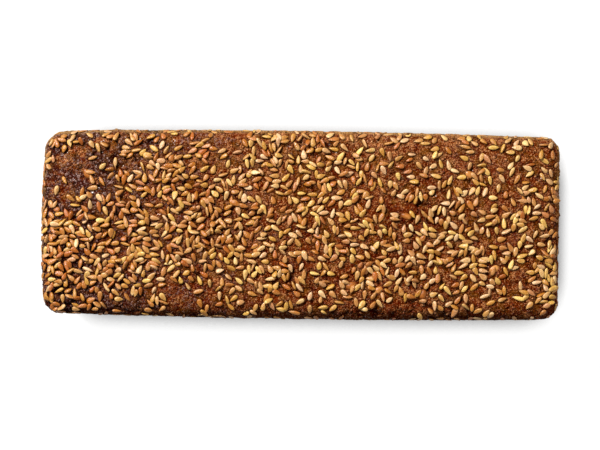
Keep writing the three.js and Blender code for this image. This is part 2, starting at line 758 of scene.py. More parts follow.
@dataclass(frozen=True)
class Patch:
    """A drift or a bare patch of seeds on the top, in shares of the half length and width."""

    x: float
    y: float
    reach_x: float
    reach_y: float
    change: float

    def at(self, x: Array, y: Array) -> Array:
        """The change in seed cover, fading as a bell away from the patch's middle."""
        square = ((x - self.x) / self.reach_x) ** 2 + ((y - self.y) / self.reach_y) ** 2
        return self.change * np.exp(-square)


@dataclass(frozen=True)
class Sowing:
    """How faces are sown: how many seeds, how near each other, and how they lie."""

    faces: tuple[Face, ...]
    count: int
    sunk: float
    pressed: float
    tilt: float
    cover: float = 1.0
    patches: tuple[Patch, ...] = ()
    disc: float = 1.05 * MM
    reach: float = 1.35 * MM
    free_gap: tuple[float, float] = (1.75, 2.25)
    crowded_gap: tuple[float, float] = (0.8, 1.4)
    crowded: float = 0.16
    crowded_if_bare: float = 0.4
    clumping: float = 0.0
    clump_size: float = 13 * MM
    clump_seed: int = 7
    edge_gap: float = 0.0
    on_edge: float = 0.0
    darts_each: int = 16

    def chance(self, face: Face, place: Array, shape: LoafShape) -> Array:
        """The chance that a seed sticks at each place: the even cover, its patches, and
        clumps along layered noise.

        Args:
            face: The face.
            place: In-plane coordinates on it.
            shape: The loaf.

        Returns:
            The chance at each place.
        """
        low, high = shape.span(face)
        share = 2.0 * (place - low) / (high - low) - 1.0
        total = np.full(len(place), self.cover)
        for patch in self.patches:
            total += patch.at(share[:, 0], share[:, 1])
        flat = np.column_stack([place, np.zeros(len(place))])
        return total + self.clumping * Noise(self.clump_seed).layered(flat, self.clump_size, 2)

    def throw(self, draws: np.random.Generator, face: Face, shape: LoafShape) -> "Bed":
        """Throws seeds at a face and keeps those that stick, clear of the ones before.

        Many more darts are thrown than seeds are wanted. Each stands for three discs along a
        seed's length. It stays if no disc of an earlier seed is nearer than its gap, which is
        about two disc radii, or much less for those that land on others, most of them where
        seeds lie thick. Such a seed touches at the mean of its covered discs.

        Args:
            draws: The seeded random source.
            face: The face to sow.
            shape: The loaf.

        Returns:
            The seeds kept.
        """
        low, high = shape.span(face)
        areas = {one: float(np.prod(np.subtract(*shape.span(one)))) for one in self.faces}
        wanted = round(self.count * areas[face] / sum(areas.values()))
        thrown = (wanted * self.darts_each, 2)
        darts = draws.uniform(low + self.edge_gap, high - self.edge_gap, size=thrown)
        chance = self.chance(face, darts, shape)
        stuck = draws.uniform(size=len(darts)) < chance
        darts, chance = darts[stuck], chance[stuck]
        yaw = draws.uniform(0.0, 2.0 * math.pi, size=len(darts))
        heading = np.column_stack([np.cos(yaw), np.sin(yaw)])
        discs = darts[:, None] + heading[:, None] * np.array([[-1.0], [0.0], [1.0]]) * self.reach
        gap = self.disc * draws.uniform(*self.free_gap, size=len(darts))
        crowded = draws.uniform(size=len(darts)) < self.crowded * (self.crowded_if_bare + chance)
        tight = self.disc * draws.uniform(*self.crowded_gap, size=len(darts))
        gap = np.where(crowded, tight, gap)
        kept, touch, taken = [], [], np.full((wanted * 3, 2), np.inf)
        for one, rings in enumerate(discs):
            if len(kept) == wanted:
                break
            apart = np.linalg.norm(rings[:, None] - taken[None, : 3 * len(kept) + 1], axis=2)
            nearest = apart.min(axis=1)
            if nearest.min() < gap[one]:
                continue
            under = np.clip(2.0 - nearest / self.disc, 0.0, 1.0)
            spot = (under[:, None] * (rings - darts[one])).sum(axis=0) / max(under.sum(), TINY)
            touch.append([*spot, under.max()])
            taken[3 * len(kept) : 3 * len(kept) + 3] = rings
            kept.append(one)
        touch = np.array(touch)
        return Bed(darts[kept], yaw[kept], touch[:, :2], touch[:, 2])


@dataclass(frozen=True)
class Bed:
    """Seeds thrown on one face: places, turns, and where and how fully each lies on others."""

    place: Array
    yaw: Array
    touch: Array
    load: Array


@dataclass(frozen=True)
class SeedCoat:
    """One piece of many seeds, sown on some of the loaf's faces."""

    name: str
    form: SeedForm
    sowing: Sowing
    seed: int
    size_spread: float = 0.12
    pinch: float = 0.16
    sink_share: tuple[float, float] = (0.6, 1.4)
    slope: float = 0.45
    least_arm: float = 0.6 * MM
    pitch_share: float = 0.45
    edge_roll: tuple[float, float] = (0.9, 0.5)
    lift_share: tuple[float, float] = (0.85, 0.45)
    tone_spread: float = 0.3
    paler_along: float = 1.0
    toast_power: tuple[float, float] = (4.2, 14.0)
    heart_power: float = 0.6
    spine_reach: float = 0.3

    def _headings(
        self, draws: np.random.Generator, normals: Array, tangents: Array, beds: Bed
    ) -> Array:
        """Gives each seed its three axes: along, across and out of the crust.

        A seed lies in the crust's tangent plane, turned by its yaw. One that lies on another
        leans away from where it touches. Its own small pitch and roll then tilt it, and a few
        roll right over onto their edge.

        Args:
            draws: The seeded random source.
            normals: The crust's outward normals.
            tangents: The crust's two tangents at each seed.
            beds: The seeds' turns and where they touch others.

        Returns:
            One matrix a seed, whose rows are the three axes.
        """
        thick = self.form.thickness
        arm = (beds.touch**2).sum(axis=1) + self.least_arm**2
        slope = self.slope * thick * beds.load[:, None] * beds.touch / arm[:, None]
        out = unit(normals - along_skin(slope, tangents))
        along, across, out = np.moveaxis(axes_of(beds.yaw, out, tangents), 1, 0)
        pitch = draws.normal(scale=self.pitch_share * self.sowing.tilt, size=len(out))[:, None]
        roll = draws.normal(scale=self.sowing.tilt, size=len(out))[:, None]
        stood = draws.uniform(size=(len(out), 1)) < self.sowing.on_edge
        least, more = self.edge_roll
        roll = np.where(stood, np.sign(roll) * (least + more * np.abs(roll)), roll)
        pitched = np.cos(pitch) * out - np.sin(pitch) * along
        along = np.cos(pitch) * along + np.sin(pitch) * out
        tilted = np.cos(roll) * across + np.sin(roll) * pitched
        return np.stack([along, tilted, np.cos(roll) * pitched - np.sin(roll) * across], axis=1)

    def _beds(self, draws: np.random.Generator, shape: LoafShape) -> tuple[Bed, list[Array]]:
        """Sows every face and joins the beds.

        Args:
            draws: The seeded random source.
            shape: The smooth loaf.

        Returns:
            All the seeds, and the points, normals and tangents of the crust under them.
        """
        beds, skins = [], []
        for face in self.sowing.faces:
            bed = self.sowing.throw(draws, face, shape)
            beds.append(bed)
            skins.append(shape.skin(face, bed.place))
        parts = ("place", "yaw", "touch", "load")
        joined = Bed(*(np.concatenate([getattr(bed, part) for bed in beds]) for part in parts))
        return joined, [np.concatenate(rows) for rows in zip(*skins, strict=True)]

    def surface(self, shape: LoafShape, relief: CrustRelief) -> tuple[Surface, Array]:
        """Sows the seeds and stamps the seed form at each.

        Args:
            shape: The smooth loaf.
            relief: The crust's relief, whose swells the seeds follow.

        Returns:
            The whole coat as one surface, and three points along each seed's middle.
        """
        draws = np.random.default_rng(self.seed)
        beds, (points, normals, tangents) = self._beds(draws, shape)
        axes = self._headings(draws, normals, tangents, beds)
        sizes = draws.normal(1.0, self.size_spread, size=(len(points), 1, 3))
        template = self.form.surface()
        local = template.points[None] * sizes
        pinch = draws.normal(0.0, self.pinch, size=(len(points), 1))
        local[..., 1] *= 1.0 + pinch * local[..., 0] / self.form.length * 2.0
        offset = np.linalg.norm(beds.touch, axis=1) / (self.form.length / 2)
        most, less = self.lift_share
        lift = self.form.thickness * beds.load * (most - less * np.minimum(offset, 1.0))
        sink = self.sowing.sunk * draws.uniform(*self.sink_share, size=len(points))
        wall = relief.wall(points, shape)
        base = self.form.thickness / 2 - sink + lift + relief.swells(points, wall)
        middle = points + normals * base[:, None]
        world = set_down(local, axes, middle)
        world = pressed_in(world, points, normals, self.sowing.pressed, 1.0)
        shares = np.array([[-1.0], [0.0], [1.0]]) * self.spine_reach
        spine = middle[:, None] + axes[:, None, 0] * shares * self.form.length
        return self._assemble(draws, template, local, world), spine.reshape(-1, 3)

    def _assemble(
        self, draws: np.random.Generator, template: Surface, local: Array, world: Array
    ) -> Surface:
        """Joins the stamped seeds, each with its own tone, toast and heart, and on the whole
        paler and less toasted towards the loaf's right end.

        Args:
            draws: The seeded random source.
            template: One seed.
            local: Each seed's points in its own axes.
            world: Each seed's points in place.

        Returns:
            The joined surface.
        """
        count = len(world)
        rim = np.broadcast_to(template.values["rim"], (count, world.shape[1]))
        core = draws.uniform(size=(count, 1)) ** self.heart_power
        along = local[..., 0] / self.form.length + 0.5
        place = world[..., 0].mean(axis=1)
        paler = self.paler_along * place
        power, more = self.toast_power
        values = {
            "rim": rim,
            "tone": np.clip(draws.normal(0.5, self.tone_spread, size=count) + paler, 0.0, 1.0),
            "toast": draws.uniform(size=count) ** (power + more * place),
            "core": core * (1.0 - rim) * np.sin(np.pi * np.clip(along, 0.0, 1.0)),
            "along": along,
        }
        return stamp(template, world, values, own_places(draws, local))


@dataclass(frozen=True)
class CrumbCoat:
    """Coarse meal baked into the crust: thousands of small domed crumbs, half sunk in it."""

    name: str
    faces: tuple[Face, ...]
    count: int
    seed: int
    widths: tuple[float, float] = (0.65 * MM, 2.0 * MM)
    mostly_small: float = 2.2
    uneven: tuple[float, float] = (0.72, 1.25)
    narrow: tuple[float, float] = (0.55, 1.0)
    rise: float = 0.42
    rise_share: tuple[float, float] = (0.5, 1.3)
    lean: float = 0.22
    sides: int = 6
    edge_gap: float = 0.5 * MM
    wall_ease: float = 0.9
    yielding: float = 0.35 * MM
    ring_radii: tuple[float, float] = (0.5, 0.34)
    ring_heights: tuple[float, float] = (-0.25, 0.55)
    bottom: float = -0.5
    crown: float = 0.8
    off_table: float = 0.1 * MM

    def _dome(self) -> Surface:
        """One crumb a unit wide: a foot ring under the crust, a shoulder ring and a top, with
        the foot closed below.

        Returns:
            The crumb and its unwrapped map.
        """
        knit = RingedForm(2, self.sides)
        radii = np.repeat(self.ring_radii, self.sides)
        turn = np.tile(knit.turn, 2)
        heights = np.repeat(self.ring_heights, self.sides)
        rings = np.column_stack([radii * np.cos(turn), radii * np.sin(turn), heights])
        points = np.vstack([rings, [[0.0, 0.0, self.bottom], [0.0, 0.0, self.crown]]])
        return Surface(points, knit.faces(), knit.maps())

    def surface(self, shape: LoafShape, relief: CrustRelief, seed_points: Array) -> Surface:
        """Scatters crumbs evenly over the faces, by area, and stands each on the baked crust.

        Each crumb is stretched, turned, leant and made uneven by random shares. It sinks
        beside and under a seed.

        Args:
            shape: The smooth loaf.
            relief: The crust's relief.
            seed_points: Points along the seeds' middles.

        Returns:
            All the crumbs as one surface.
        """
        draws = np.random.default_rng(self.seed)
        areas = [float(np.prod(np.subtract(*shape.span(face)))) for face in self.faces]
        skins = []
        for face, area in zip(self.faces, areas, strict=True):
            low, high = shape.span(face)
            wanted = round(self.count * area / sum(areas))
            place = draws.uniform(low + self.edge_gap, high - self.edge_gap, size=(wanted, 2))
            skins.append(shape.skin(face, place))
        points, normals, tangents = (np.concatenate(rows) for rows in zip(*skins, strict=True))
        count = len(points)
        template = self._dome()
        uneven = draws.uniform(*self.uneven, size=(count, len(template.points), 1))
        local = template.points[None] * uneven
        low, high = self.widths
        width = low + (high - low) * draws.uniform(size=count) ** self.mostly_small
        wall = relief.wall(points, shape)
        rise = self.rise * draws.uniform(*self.rise_share, size=count) * (1.0 - self.wall_ease * wall)
        narrow = draws.uniform(*self.narrow, size=count)
        local = local * np.column_stack([width, width * narrow, width * rise])[:, None]
        lean = self.lean * draws.normal(size=(count, 2)) * (1.0 - wall)[:, None]
        out = unit(normals + along_skin(lean, tangents))
        axes = axes_of(draws.uniform(0.0, 2.0 * math.pi, size=count), out, tangents)
        near = nearness(points, seed_points)
        height = relief.heights(points, relief.shape_masks(points), shape) - self.yielding * near
        world = set_down(local, axes, points + normals * height[:, None])
        world[..., 2] = np.maximum(world[..., 2], self.off_table)
        crest = np.clip(template.points[:, 2] / self.crown, 0.0, 1.0)
        values = {
            "tone": draws.uniform(size=count),
            "wet": draws.uniform(size=count),
            "near_seed": near,
            "crest": np.broadcast_to(crest, (count, len(crest))),
        }
        return stamp(template, world, values, own_places(draws, local))


@dataclass(frozen=True)
class Kernels:
    """Larger amber kernels, each sunk to its middle in the crust, at listed spots."""

    name: str = "kernels"
    form: SeedForm = SeedForm(5.6 * MM, 4.0 * MM, 3.4 * MM, 9, 14, 0.25, 0.9)
    size_share: tuple[float, float] = (0.82, 1.1)
    sunk: float = 1.0 * MM
    wall_sink: float = 0.42
    pressed: float = 0.3 * MM
    seed: int = 41
    spots: tuple[tuple[Face, float, float, float], ...] = (
        (Face.TOP, 12, 17.5, 100), (Face.TOP, 26, -29, 20), (Face.TOP, 40, -31, 25),
        (Face.TOP, 62, -33, 75), (Face.TOP, 84, 26, 140), (Face.TOP, 97.5, -20.5, 30),
        (Face.TOP, 111, 14, 95), (Face.TOP, -48, 11, 60), (Face.TOP, -86, -18, 10),
        (Face.TOP, -107, 24, 120), (Face.TOP, -21, -12, 45), (Face.TOP, 53, 5, 160),
        (Face.FRONT, -92, 34, 15), (Face.FRONT, -38, 22, 80), (Face.FRONT, 17, 41, 140),
        (Face.FRONT, 74, 28, 40), (Face.BACK, -70, 39, 100), (Face.BACK, -9, 26, 35),
        (Face.BACK, 58, 33, 160), (Face.BACK, 103, 21, 70), (Face.LEFT, -17, 35, 60),
        (Face.LEFT, 24, 20, 130), (Face.RIGHT, 10, 38, 20), (Face.RIGHT, -26, 24, 100),
        (Face.BASE, -60, 12, 40), (Face.BASE, 31, -19, 120), (Face.BASE, 88, 22, 70),
    )

    def surface(self, shape: LoafShape, relief: CrustRelief) -> tuple[Surface, Array]:
        """Stamps a kernel at each spot, level with the crust round it.

        Args:
            shape: The smooth loaf.
            relief: The crust's relief, whose swells the kernels follow.

        Returns:
            The kernels as one surface, and the middle of each.
        """
        draws = np.random.default_rng(self.seed)
        skins = [shape.skin(face, np.array([[x, y]]) * MM) for face, x, y, _ in self.spots]
        points, normals, tangents = (np.concatenate(rows) for rows in zip(*skins, strict=True))
        axes = axes_of(np.radians([angle for *_, angle in self.spots]), normals, tangents)
        count = len(points)
        template = self.form.surface()
        local = template.points[None] * draws.uniform(*self.size_share, size=(count, 1, 3))
        wall = relief.wall(points, shape)
        sink = self.sunk + wall * self.wall_sink * self.form.thickness
        middle = points + normals * (relief.swells(points, wall) - sink)[:, None]
        world = set_down(local, axes, middle)
        world = pressed_in(world, points, normals, self.pressed, wall[:, None])
        values = {"tone": draws.uniform(size=count), "along": local[..., 0] / self.form.length + 0.5}
        return stamp(template, world, values, own_places(draws, local)), middle


@dataclass(frozen=True)
class CrustSkin:
    """The crust's mesh: six grids over the block, joined at their edges and moulded."""

    shape: LoafShape
    relief: CrustRelief
    steps: tuple[int, int, int] = (280, 104, 38)
    corner_steps: int = 9
    shoulder_steps: int = 8
    foot_steps: int = 4
    map_gap: float = 3 * MM

    def _places(self) -> list[Array]:
        """Where the mesh lines lie along each axis, gathered towards the rounded edges.

        Returns:
            One rising row of places for each axis.
        """
        half, corner = self.shape.half, self.shape.corner_radius
        lines = []
        for axis in (0, 1):
            count = self.steps[axis]
            knots = [0, self.corner_steps, count - self.corner_steps, count]
            spots = [-half[axis], corner - half[axis], half[axis] - corner, half[axis]]
            lines.append(np.interp(np.arange(count + 1), knots, spots))
        count, height = self.steps[2], self.shape.height
        knots = [0, self.foot_steps, count - self.shoulder_steps, count]
        spots = [0.0, self.shape.foot_radius, height - self.shape.shoulder_radius, height]
        lines.append(np.interp(np.arange(count + 1), knots, spots))
        return lines

    def _corner_of_map(self, face: Face) -> tuple[float, float]:
        """The lower left corner of a face's rectangle on the map, before scaling.

        Args:
            face: The face.

        Returns:
            The corner, in metres.
        """
        long, wide, tall = self.shape.length, self.shape.width, self.shape.height
        gap = self.map_gap
        spots = {
            Face.TOP: (gap, gap),
            Face.BASE: (gap, 2 * gap + wide),
            Face.FRONT: (gap, 3 * gap + 2 * wide),
            Face.BACK: (gap, 4 * gap + 2 * wide + tall),
            Face.LEFT: (2 * gap + long, gap),
            Face.RIGHT: (2 * gap + long, 2 * gap + wide),
        }
        return spots[face]

    def _map(self, face: Face, block: Array) -> Array:
        """Lays a face's corners flat on its own rectangle of the map.

        Args:
            face: The face.
            block: The block points of its quads' corners, as quads, corners, coordinates.

        Returns:
            One pair of map coordinates a corner.
        """
        low, _ = self.shape.span(face)
        flat = block[..., list(face.plane_axes)] - low
        if face.axis == 0:
            flat = flat[..., ::-1]
        gap = self.map_gap
        whole = max(
            3 * gap + self.shape.length + self.shape.height,
            5 * gap + 2 * (self.shape.width + self.shape.height),
        )
        return (flat + self._corner_of_map(face)) / whole

    def surface(self, seed_points: Array) -> Surface:
        """Builds the crust's mesh.

        Lattice points of the block's surface are numbered once, so that grids share the
        points along their edges. Each moves onto the loaf, and then along its normal, the
        area-weighted sum of its faces' normals, by the relief.

        Args:
            seed_points: Points along the seeds' middles, round which the crust gets painted shade.

        Returns:
            The crust with its map and its masks.
        """
        counts = np.array(self.steps) + 1
        shell = np.ones(counts, dtype=bool)
        shell[1:-1, 1:-1, 1:-1] = False
        index = np.full(counts, -1)
        index[shell] = np.arange(shell.sum())
        lattice = np.argwhere(shell)
        block = np.column_stack([line[lattice[:, k]] for k, line in enumerate(self._places())])
        quads, maps = [], []
        for face in Face:
            grid = np.take(index, 0 if face.end < 0 else -1, axis=face.axis)
            ring = [grid[:-1, :-1], grid[1:, :-1], grid[1:, 1:], grid[:-1, 1:]]
            turned = (face.end < 0) != (face.axis == 1)
            corners = np.stack(ring[::-1] if turned else ring, axis=-1).reshape(-1, 4)
            quads.append(corners)
            maps.append(self._map(face, block[corners]))
        faces = np.vstack(quads)
        smooth = self.shape.mould(block)
        normals = self._normals(smooth, faces)
        masks = self.relief.shape_masks(smooth)
        heights = self.relief.heights(smooth, masks, self.shape)
        points = smooth + normals * heights[:, None]
        points[:, 2] = np.maximum(points[:, 2], 0.0)
        masks["wall"] = self.relief.wall(smooth, self.shape)
        masks["near_seed"] = nearness(points, seed_points)
        return Surface(points, [faces], [np.concatenate(maps)], masks)

    def _normals(self, points: Array, quads: Array) -> Array:
        """Sums the cross products of each quad's diagonals at its corners.

        Args:
            points: The mesh's points.
            quads: Its faces, four indices a row.

        Returns:
            A unit normal for each point.
        """
        across = np.cross(
            points[quads[:, 2]] - points[quads[:, 0]], points[quads[:, 3]] - points[quads[:, 1]]
        )
        total = np.zeros_like(points)
        for corner in range(4):
            np.add.at(total, quads[:, corner], across)
        return unit(total)


class Board:
    """A node tree being wired: short calls for adding nodes and joining them."""

    def __init__(self, tree: bpy.types.NodeTree) -> None:
        """Keeps the tree to wire."""
        self.tree = tree

    def add(self, kind: str, **settings: object) -> bpy.types.Node:
        """Adds a node and sets its own properties.

        Args:
            kind: The node's type name.
            **settings: Properties by name, set as given.

        Returns:
            The new node.
        """
        node = self.tree.nodes.new(kind)
        for key, value in settings.items():
            setattr(node, key, value)
        return node

    def feed(self, socket: Socket, value: object) -> None:
        """Joins an output to a socket, or sets the socket's own value.

        Args:
            socket: The input.
            value: An output socket, a number, a vector or a colour of three channels.
        """
        if isinstance(value, bpy.types.NodeSocket):
            self.tree.links.new(value, socket)
        elif isinstance(value, tuple) and len(value) == 3 and socket.type == "RGBA":
            socket.default_value = (*value, 1.0)
        else:
            socket.default_value = value

    def math(self, operation: str, *values: object) -> Socket:
        """Adds a Math node.

        Args:
            operation: The sum it does.
            *values: Its inputs in order, sockets or numbers.

        Returns:
            The result.
        """
        node = self.add("ShaderNodeMath", operation=operation)
        for socket, value in zip(node.inputs, values, strict=False):
            self.feed(socket, value)
        return node.outputs[0]

    def product(self, first: Socket, second: object) -> Socket:
        """Multiplies two numbers."""
        return self.math("MULTIPLY", first, second)

    def total(self, start: float, *terms: tuple[Socket, float]) -> Socket:
        """Adds up values, each times its own weight.

        Args:
            start: The number that the rest is added to.
            *terms: Each value with its weight.

        Returns:
            The sum.
        """
        result = start
        for value, weight in terms:
            result = self.math("MULTIPLY_ADD", value, weight, result)
        return result

    def stretch(self, value: Socket, low: float, high: float, to: tuple[float, float]) -> Socket:
        """Maps a value from low..high onto a new range, held at its ends.

        Args:
            value: The value.
            low: Where the new range starts.
            high: Where it ends.
            to: The new range's two ends.

        Returns:
            The mapped value.
        """
        node = self.add("ShaderNodeMapRange", clamp=True)
        for socket, number in zip(node.inputs, (value, low, high, *to), strict=False):
            self.feed(socket, number)
        return node.outputs[0]

    def mix(self, share: object, first: object, second: object, blend: str = "MIX") -> Socket:
        """Blends two colours.

        Args:
            share: How much of the second colour, a socket or a number.
            first: The first colour.
            second: The second colour.
            blend: How they blend.

        Returns:
            The blended colour.
        """
        node = self.add("ShaderNodeMix", data_type="RGBA", blend_type=blend, clamp_factor=True)
        for name, value in (("Factor_Float", share), ("A_Color", first), ("B_Color", second)):
            socket = next(s for s in node.inputs if s.identifier == name)
            self.feed(socket, value)
        return next(s for s in node.outputs if s.identifier == "Result_Color")

    def noise(self, place: Socket, scale: float, detail: float = 2.0, rough: float = 0.5) -> Socket:
        """Adds a noise texture.

        Args:
            place: Where it is read.
            scale: Its waves to the metre.
            detail: Its extra octaves.
            rough: How strong each octave is beside the last.

        Returns:
            A value around 0.5.
        """
        node = self.add("ShaderNodeTexNoise")
        self.feed(node.inputs["Vector"], place)
        self.feed(node.inputs["Scale"], scale)
        self.feed(node.inputs["Detail"], detail)
        self.feed(node.inputs["Roughness"], rough)
        return node.outputs["Fac"]

    def shifted(self, place: Socket, metres: float) -> Socket:
        """Moves the coordinates along all three axes, so that a noise there is another one.

        Args:
            place: The coordinates.
            metres: How far they move along each axis.

        Returns:
            The moved coordinates.
        """
        node = self.add("ShaderNodeVectorMath", operation="ADD")
        self.feed(node.inputs[0], place)
        node.inputs[1].default_value = (metres, metres, metres)
        return node.outputs[0]

    def bump(self, shader: bpy.types.Node, height: Socket, strength: float, distance: float) -> None:
        """Turns a height into the shader's normal.

        Args:
            shader: The Principled node.
            height: The height, from 0 to about 1.
            strength: How strongly the bump shows.
            distance: How far, in metres, a height of 1 stands.
        """
        node = self.add("ShaderNodeBump")
        node.inputs["Strength"].default_value = strength
        node.inputs["Distance"].default_value = distance
        self.feed(node.inputs["Height"], height)
        self.feed(shader.inputs["Normal"], node.outputs["Normal"])

    def value(self, name: str) -> Socket:
        """Reads a number stored on the mesh."""
        return self.add("ShaderNodeAttribute", attribute_name=name).outputs["Fac"]

    def vector(self, name: str) -> Socket:
        """Reads a vector stored on the mesh."""
        return self.add("ShaderNodeAttribute", attribute_name=name).outputs["Vector"]

    def place(self) -> Socket:
        """Reads the object's own coordinates, in metres."""
        return self.add("ShaderNodeTexCoord").outputs["Object"]

    def group(self, tree: bpy.types.NodeTree, **inputs: object) -> bpy.types.Node:
        """Places a node group and feeds its named inputs.

        Args:
            tree: The group.
            **inputs: Values by socket name, with _ for a space.

        Returns:
            The group node.
        """
        node = self.add("ShaderNodeGroup", node_tree=tree)
        for key, value in inputs.items():
            self.feed(node.inputs[key.replace("_", " ")], value)
        return node


@dataclass(frozen=True)
class Browns:
    """The shades of a baked brown: three tones, two hues, dull patches, painted glints,
    a painted highlight and painted shade.
    """

    dark: Colour
    middle: Colour
    light: Colour
    warm: Colour
    cool: Colour
    dull: Colour
    fleck: Colour
    tan: Colour
    # The near black of painted shade: hollows, round seeds, crumb feet, front shoulder.
    deep: Colour


class Effects:
    """The node groups that more than one finish uses, each built once.

    Each pair says, in metres along an axis, where an effect starts and where it is full.
    """

    TOP = (0.05, 0.06)
    BROW_BELOW = (0.061, 0.0588)
    BROW_ABOVE = (0.05, 0.057)
    # The next three pairs place painted light: a lighter back and brow, which face the key light, and
    # painted shade on the front shoulder.
    BACK_LIGHTER = (0.0, 0.035)
    BACK_TANNED = (-0.03, 0.03)
    FRONT_SHOULDER = (-0.0385, -0.045)
    LEFT_END = (-0.115, -0.01)

    def __init__(self) -> None:
        """Builds the groups."""
        self.tones = self._build_tones()
        self.grain = self._build_grain()
        self.browns = self._build_browns()

    def _start(
        self, name: str, inputs: dict[str, str], outputs: dict[str, str]
    ) -> tuple[bpy.types.NodeTree, Board, bpy.types.Node, bpy.types.Node]:
        """Opens a group with its named sockets.

        Args:
            name: The group's name.
            inputs: Socket types by input name.
            outputs: Socket types by output name.

        Returns:
            The group, a board on it, and its input and output nodes.
        """
        tree = bpy.data.node_groups.new(name, "ShaderNodeTree")
        for key, kind in inputs.items():
            tree.interface.new_socket(key, in_out="INPUT", socket_type=kind)
        for key, kind in outputs.items():
            tree.interface.new_socket(key, in_out="OUTPUT", socket_type=kind)
        board = Board(tree)
        return tree, board, board.add("NodeGroupInput"), board.add("NodeGroupOutput")

    def _build_tones(self) -> bpy.types.NodeTree:
        """A run of three colours: dark to middle over the share's first half, then to light.

        Returns:
            The group.
        """
        colours = {"Dark": "NodeSocketColor", "Middle": "NodeSocketColor", "Light": "NodeSocketColor"}
        tree, board, given, made = self._start(
            "three_tones", {"Share": "NodeSocketFloat", **colours}, {"Color": "NodeSocketColor"}
        )
        share = given.outputs["Share"]
        lower = board.stretch(share, 0.0, 0.5, (0.0, 1.0))
        upper = board.stretch(share, 0.5, 1.0, (0.0, 1.0))
        first = board.mix(lower, given.outputs["Dark"], given.outputs["Middle"])
        board.feed(made.inputs["Color"], board.mix(upper, first, given.outputs["Light"]))
        return tree

    def _build_grain(self) -> bpy.types.NodeTree:
        """Baked grain: crumbs as warped cells, domed in height and each of its own tone, with
        gaps between them, and a finer noise over all. The tone also follows the height, as
        painted shade: lighter on each dome and darker in the gaps.

        Returns:
            The group.
        """
        tree, board, given, made = self._start(
            "baked_grain",
            {"Place": "NodeSocketVector", "Scale": "NodeSocketFloat", "Warp": "NodeSocketFloat"},
            {"Height": "NodeSocketFloat", "Tone": "NodeSocketFloat", "Speck": "NodeSocketFloat"},
        )
        place, scale = given.outputs["Place"], given.outputs["Scale"]
        bend = board.add("ShaderNodeTexNoise")
        board.feed(bend.inputs["Vector"], place)
        board.feed(bend.inputs["Scale"], scale)
        bent = board.add("ShaderNodeVectorMath", operation="MULTIPLY_ADD")
        amount = board.math("DIVIDE", given.outputs["Warp"], scale)
        for socket, value in zip(bent.inputs, (bend.outputs["Color"], amount, place), strict=False):
            board.feed(socket, value)
        crumbs = board.add("ShaderNodeTexVoronoi", feature="F1")
        board.feed(crumbs.inputs["Vector"], bent.outputs[0])
        board.feed(crumbs.inputs["Scale"], scale)
        split = board.add("ShaderNodeSeparateColor")
        board.feed(split.inputs[0], crumbs.outputs["Color"])
        fine = board.noise(place, 1.0, 2.0, 0.6)
        board.feed(fine.node.inputs["Scale"], board.product(scale, 1.9))
        dome = board.stretch(crumbs.outputs["Distance"], 0.15, 0.75, (1.0, 0.0))
        height = board.total(0.0, (dome, 0.6), (fine, 0.6))
        board.feed(made.inputs["Height"], height)
        # Painted shade: the tone is lighter where the grain stands high and darker in its gaps.
        board.feed(made.inputs["Tone"], board.total(0.0, (height, 0.7), (split.outputs[0], 0.4)))
        wet = board.stretch(board.product(split.outputs[1], dome), 0.46, 0.76, (0.0, 1.0))
        board.feed(made.inputs["Speck"], wet)
        return tree

    def _hued(self, board: Board, given: bpy.types.Node, colour: Socket) -> Socket:
        """Turns a brown redder in some patches and more olive in others.

        Args:
            board: The group's board.
            given: The group's input node.
            colour: The brown.

        Returns:
            The varied brown.
        """
        place = given.outputs["Place"]
        coarse = board.noise(board.shifted(place, 3.0), 55.0, 3.0, 0.7)
        fine = board.noise(board.shifted(place, 7.0), 190.0, 2.0, 0.55)
        both = board.total(0.0, (coarse, 0.25), (fine, 0.75))
        redder = board.stretch(both, 0.51, 0.6, (0.0, 0.5))
        greener = board.stretch(both, 0.49, 0.4, (0.0, 0.6))
        warmed = board.mix(redder, colour, given.outputs["Warm"])
        return board.mix(greener, warmed, given.outputs["Cool"])

    def _floured(
        self, board: Board, given: bpy.types.Node, colour: Socket, split: bpy.types.Node
    ) -> Socket:
        """Turns patches of the top dull, with painted glints as pale flecks, most of them at the left end.

        Args:
            board: The group's board.
            given: The group's input node.
            colour: The brown.
            split: The node that gives the place's X, Y and Z.

        Returns:
            The brown with its dull patches and painted glints.
        """
        place = given.outputs["Place"]
        leftness = board.stretch(split.outputs["X"], *self.LEFT_END, (1.0, 0.15))
        on_top = board.stretch(split.outputs["Z"], *self.TOP, (0.0, 1.0))
        patchy = board.total(0.0, (board.noise(place, 90.0, 3.0, 0.7), 1.0), (leftness, 0.14))
        patches = board.product(board.stretch(patchy, 0.5, 0.64, (0.0, 1.0)), leftness)
        patches = board.product(patches, on_top)
        # Painted glints: pale flecks over the dull patches.
        flecks = board.stretch(board.noise(place, 700.0, 2.0, 0.7), 0.54, 0.62, (0.0, 0.9))
        dulled = board.mix(board.product(patches, 0.85), colour, given.outputs["Dull"])
        return board.mix(board.product(patches, flecks), dulled, given.outputs["Fleck"])

    def _browed(
        self, board: Board, given: bpy.types.Node, colour: Socket, split: bpy.types.Node
    ) -> Socket:
        """Paints a highlight as a paler band along the shoulder's brow, most of all at the back,
        which faces the key light, and paints shade on the front shoulder.

        Args:
            board: The group's board.
            given: The group's input node.
            colour: The brown.
            split: The node that gives the place's X, Y and Z.

        Returns:
            The brown with its painted highlight and painted shade.
        """
        below = board.stretch(split.outputs["Z"], *self.BROW_BELOW, (0.0, 1.0))
        above = board.stretch(split.outputs["Z"], *self.BROW_ABOVE, (0.0, 1.0))
        # Painted highlight: a paler band along the brow, strongest at the back, which faces the key light.
        backness = board.stretch(split.outputs["Y"], *self.BACK_TANNED, (0.0, 0.62))
        share = board.product(board.product(below, above), backness)
        tanned = board.mix(share, colour, given.outputs["Tan"])
        # Painted shade: the front shoulder, turned from the key light, darkens.
        frontness = board.stretch(split.outputs["Y"], *self.FRONT_SHOULDER, (0.0, 0.6))
        return board.mix(board.product(above, frontness), tanned, given.outputs["Deep"])

